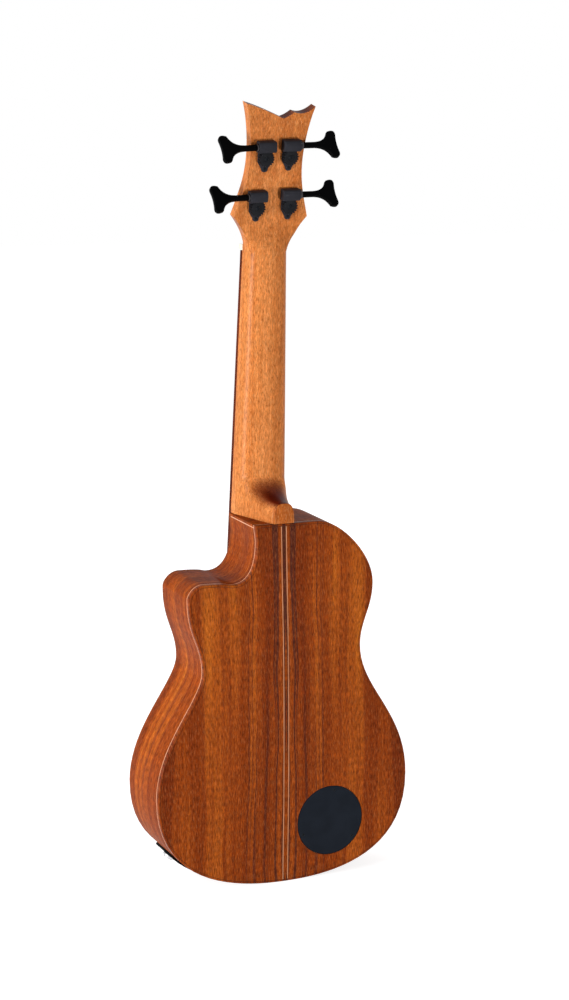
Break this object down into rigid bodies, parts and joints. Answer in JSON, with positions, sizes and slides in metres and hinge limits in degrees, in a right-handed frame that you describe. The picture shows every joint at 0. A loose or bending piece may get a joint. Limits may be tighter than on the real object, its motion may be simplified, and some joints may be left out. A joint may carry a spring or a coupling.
{
  "type": "bass ukulele",
  "caption": "Short-scale electric-acoustic bass ukulele: hollow wooden body with a cutaway, soundhole and pickup, glued neck, slotted-crest headstock and worm-geared tuners that turn.",
  "frame": {"origin": "bottom centre of the whole instrument's box: the tail end, halfway between its two sides and between its front and its back", "axes": "+Z from the tail up the neck, -Y out of the soundboard, +Y out of the back, +X towards the treble side with the cutaway"},
  "size_m": [0.2684, 0.1072, 0.7655],
  "materials": {
    "figured_wood": "satin lacquer over reddish-brown figured hardwood",
    "pale_wood": "satin lacquer over thin pale veneer",
    "neck_wood": "satin lacquer over orange-brown mahogany",
    "plain_wood": "bare",
    "dark_wood": "oiled",
    "bone": "polished",
    "black_metal": "satin black plating",
    "black_plastic": "matt moulded",
    "bright_metal": "polished",
    "string_rubber": "matt"
  },
  "bodies": {
    "instrument": {"soundboard": "figured_wood", "top_binding": "figured_wood", "back_binding": "figured_wood", "back_side_line": "pale_wood", "bass_side": "figured_wood", "treble_side": "figured_wood", "back_bass_half": "figured_wood", "back_treble_half": "figured_wood", "back_centre_strip": "figured_wood", "back_bass_line": "pale_wood", "back_treble_line": "pale_wood", "top_lining": "plain_wood", "back_lining": "plain_wood", "neck_block": "plain_wood", "tail_block": "plain_wood", "top_brace_1": "plain_wood", "top_brace_2": "plain_wood", "back_brace_1": "plain_wood", "back_brace_2": "plain_wood", "access_cover": "black_plastic", "cover_seat": "plain_wood", "bridge": "dark_wood", "saddle_pickup": "bright_metal", "saddle": "bone", "bridge_plate": "plain_wood", "jack_plate": "black_metal", "output_jack": "bright_metal", "jack_nut": "bright_metal", "heel_cap": "figured_wood", "neck": "neck_wood", "fretboard": "dark_wood", "nut": "bone", "string_e": "string_rubber", "string_a": "string_rubber", "string_d": "string_rubber", "string_g": "string_rubber", "tuner_housing_e": "black_metal", "tuner_bushing_e": "black_metal", "tuner_housing_a": "black_metal", "tuner_bushing_a": "black_metal", "tuner_housing_d": "black_metal", "tuner_bushing_d": "black_metal", "tuner_housing_g": "black_metal", "tuner_bushing_g": "black_metal"},
    "key_e": {"tuner_worm_e": "black_metal", "tuner_key_e": "black_metal"},
    "post_e": {"tuner_gear_e": "black_metal", "tuner_post_e": "black_metal"},
    "key_a": {"tuner_worm_a": "black_metal", "tuner_key_a": "black_metal"},
    "post_a": {"tuner_gear_a": "black_metal", "tuner_post_a": "black_metal"},
    "key_d": {"tuner_worm_d": "black_metal", "tuner_key_d": "black_metal"},
    "post_d": {"tuner_gear_d": "black_metal", "tuner_post_d": "black_metal"},
    "key_g": {"tuner_worm_g": "black_metal", "tuner_key_g": "black_metal"},
    "post_g": {"tuner_gear_g": "black_metal", "tuner_post_g": "black_metal"}
  },
  "joints": [
    {"name": "key_turn_e", "type": "hinge", "parent": "instrument", "child": "key_e", "pos_m": [-0.02858, 0.00305, 0.67619], "axis": [-0.9998, 0.0039, 0.0188], "continuous": true},
    {"name": "post_turn_e", "type": "hinge", "parent": "instrument", "child": "post_e", "pos_m": [-0.0168, -0.00391, 0.66565], "axis": [0, 0.9796, -0.2011], "continuous": true},
    {"name": "key_turn_a", "type": "hinge", "parent": "instrument", "child": "key_a", "pos_m": [-0.02438, 0.01281, 0.7237], "axis": [-0.9998, 0.0039, 0.0188], "continuous": true},
    {"name": "post_turn_a", "type": "hinge", "parent": "instrument", "child": "post_a", "pos_m": [-0.0126, 0.00585, 0.71316], "axis": [0, 0.9796, -0.2011], "continuous": true},
    {"name": "key_turn_d", "type": "hinge", "parent": "instrument", "child": "key_d", "pos_m": [0.02509, 0.01239, 0.72168], "axis": [0.999, -0.0088, -0.0427], "continuous": true},
    {"name": "post_turn_d", "type": "hinge", "parent": "instrument", "child": "post_d", "pos_m": [0.0126, 0.00558, 0.71189], "axis": [0, 0.9796, -0.2011], "continuous": true},
    {"name": "key_turn_g", "type": "hinge", "parent": "instrument", "child": "key_g", "pos_m": [0.02929, 0.00262, 0.67408], "axis": [0.999, -0.0088, -0.0427], "continuous": true},
    {"name": "post_turn_g", "type": "hinge", "parent": "instrument", "child": "post_g", "pos_m": [0.0168, -0.00419, 0.66428], "axis": [0, 0.9796, -0.2011], "continuous": true}
  ],
  "couplings": [
    {"joint": "post_turn_e", "follows": "key_turn_e", "ratio": 0.055556},
    {"joint": "post_turn_a", "follows": "key_turn_a", "ratio": 0.055556},
    {"joint": "post_turn_d", "follows": "key_turn_d", "ratio": -0.055556},
    {"joint": "post_turn_g", "follows": "key_turn_g", "ratio": -0.055556}
  ]
}
